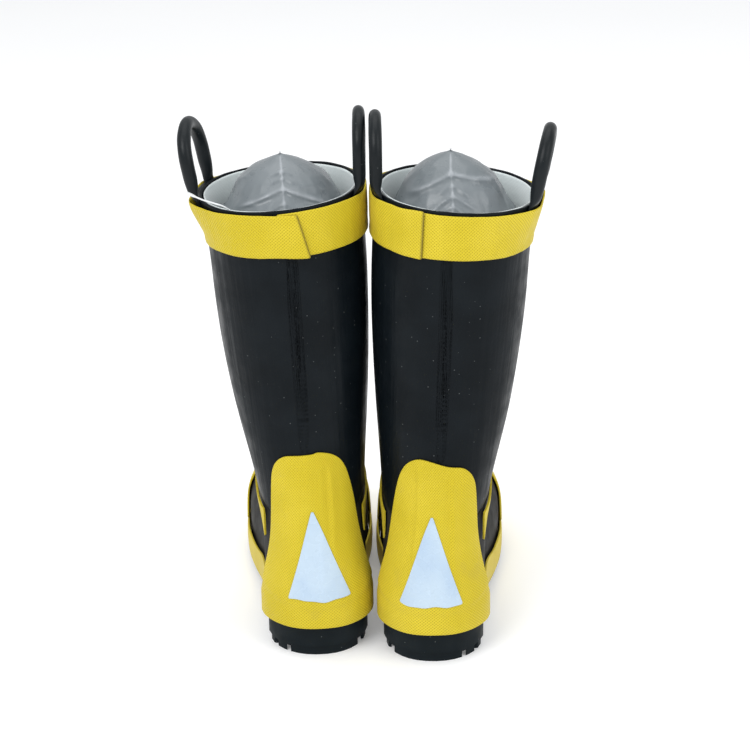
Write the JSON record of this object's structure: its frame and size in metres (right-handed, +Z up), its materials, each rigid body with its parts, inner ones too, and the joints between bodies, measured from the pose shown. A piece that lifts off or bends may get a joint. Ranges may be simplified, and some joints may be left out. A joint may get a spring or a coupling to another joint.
{
  "type": "fire boots",
  "caption": "Pair of tall black rubber fire boots with yellow rim bands, heel counters, toe guards, pull loops and reflective heel triangles.",
  "frame": {"origin": "on the ground in the middle of the pair: midway between the two heels, and halfway between the rear heel and the front toe", "axes": "+Z up, +Y toward the toes, +X toward the right boot"},
  "size_m": [0.2815, 0.317, 0.4231],
  "materials": {
    "black_rubber": "satin",
    "vamp_rubber": "matte",
    "sole_rubber": "matte",
    "loop_rubber": "satin",
    "yellow_fabric_rubber": "matte",
    "yellow_rubber": "satin",
    "reflective_sheet": "satin",
    "canvas_lining": "matte",
    "insole_felt": "matte",
    "fibre_board": "matte",
    "steel": "satin",
    "bag_film": "gloss",
    "clear_tie": "satin"
  },
  "bodies": {
    "left_boot": {"left_shaft": "black_rubber", "left_vamp": "vamp_rubber", "left_lining": "canvas_lining", "left_outsole": "sole_rubber", "left_midsole_plate": "steel", "left_insole_board": "fibre_board", "left_insole": "insole_felt", "left_toe_cap": "steel", "left_heel_stiffener": "fibre_board", "left_top_band": "yellow_fabric_rubber", "left_heel_counter": "yellow_fabric_rubber", "left_heel_reflector": "reflective_sheet", "left_foxing_band": "yellow_rubber", "left_toe_guard": "yellow_rubber", "left_instep_saddle": "yellow_rubber", "left_back_seam": "black_rubber", "left_loop_anchors": "loop_rubber", "left_tag_tie": "clear_tie"},
    "right_boot": {"right_shaft": "black_rubber", "right_vamp": "vamp_rubber", "right_lining": "canvas_lining", "right_outsole": "sole_rubber", "right_midsole_plate": "steel", "right_insole_board": "fibre_board", "right_insole": "insole_felt", "right_toe_cap": "steel", "right_heel_stiffener": "fibre_board", "right_top_band": "yellow_fabric_rubber", "right_heel_counter": "yellow_fabric_rubber", "right_heel_reflector": "reflective_sheet", "right_foxing_band": "yellow_rubber", "right_toe_guard": "yellow_rubber", "right_instep_saddle": "yellow_rubber", "right_back_seam": "black_rubber", "right_loop_anchors": "loop_rubber"},
    "left_outer_loop_body": {"left_outer_loop": "loop_rubber"},
    "left_inner_loop_body": {"left_inner_loop": "loop_rubber"},
    "right_outer_loop_body": {"right_outer_loop": "loop_rubber"},
    "right_inner_loop_body": {"right_inner_loop": "loop_rubber"},
    "left_bag_body": {"left_stuffing_bag": "bag_film"},
    "right_bag_body": {"right_stuffing_bag": "bag_film"}
  },
  "joints": [
    {"name": "right_boot_apart", "type": "slide", "parent": "left_boot", "child": "right_boot", "axis": [1, 0, 0], "range_m": [0, 0.3]},
    {"name": "left_outer_loop_bend", "type": "hinge", "parent": "left_boot", "child": "left_outer_loop_body", "pos_m": [-0.12612, -0.06384, 0.36471], "axis": [-0.1392, -0.9903, 0], "range_deg": [-45, 70]},
    {"name": "left_inner_loop_bend", "type": "hinge", "parent": "left_boot", "child": "left_inner_loop_body", "pos_m": [-0.00605, -0.07487, 0.37273], "axis": [0, 1, 0], "range_deg": [-45, 0]},
    {"name": "right_outer_loop_bend", "type": "hinge", "parent": "right_boot", "child": "right_outer_loop_body", "pos_m": [0.12572, -0.09844, 0.36431], "axis": [0.1564, 0.9877, 0], "range_deg": [-45, 70]},
    {"name": "right_inner_loop_bend", "type": "hinge", "parent": "right_boot", "child": "right_inner_loop_body", "pos_m": [0.00605, -0.08887, 0.37273], "axis": [0, -1, 0], "range_deg": [-45, 0]},
    {"name": "left_bag_lift", "type": "slide", "parent": "left_boot", "child": "left_bag_body", "axis": [0, 0, 1], "range_m": [0, 0.17]},
    {"name": "right_bag_lift", "type": "slide", "parent": "right_boot", "child": "right_bag_body", "axis": [0, 0, 1], "range_m": [0, 0.17]}
  ]
}
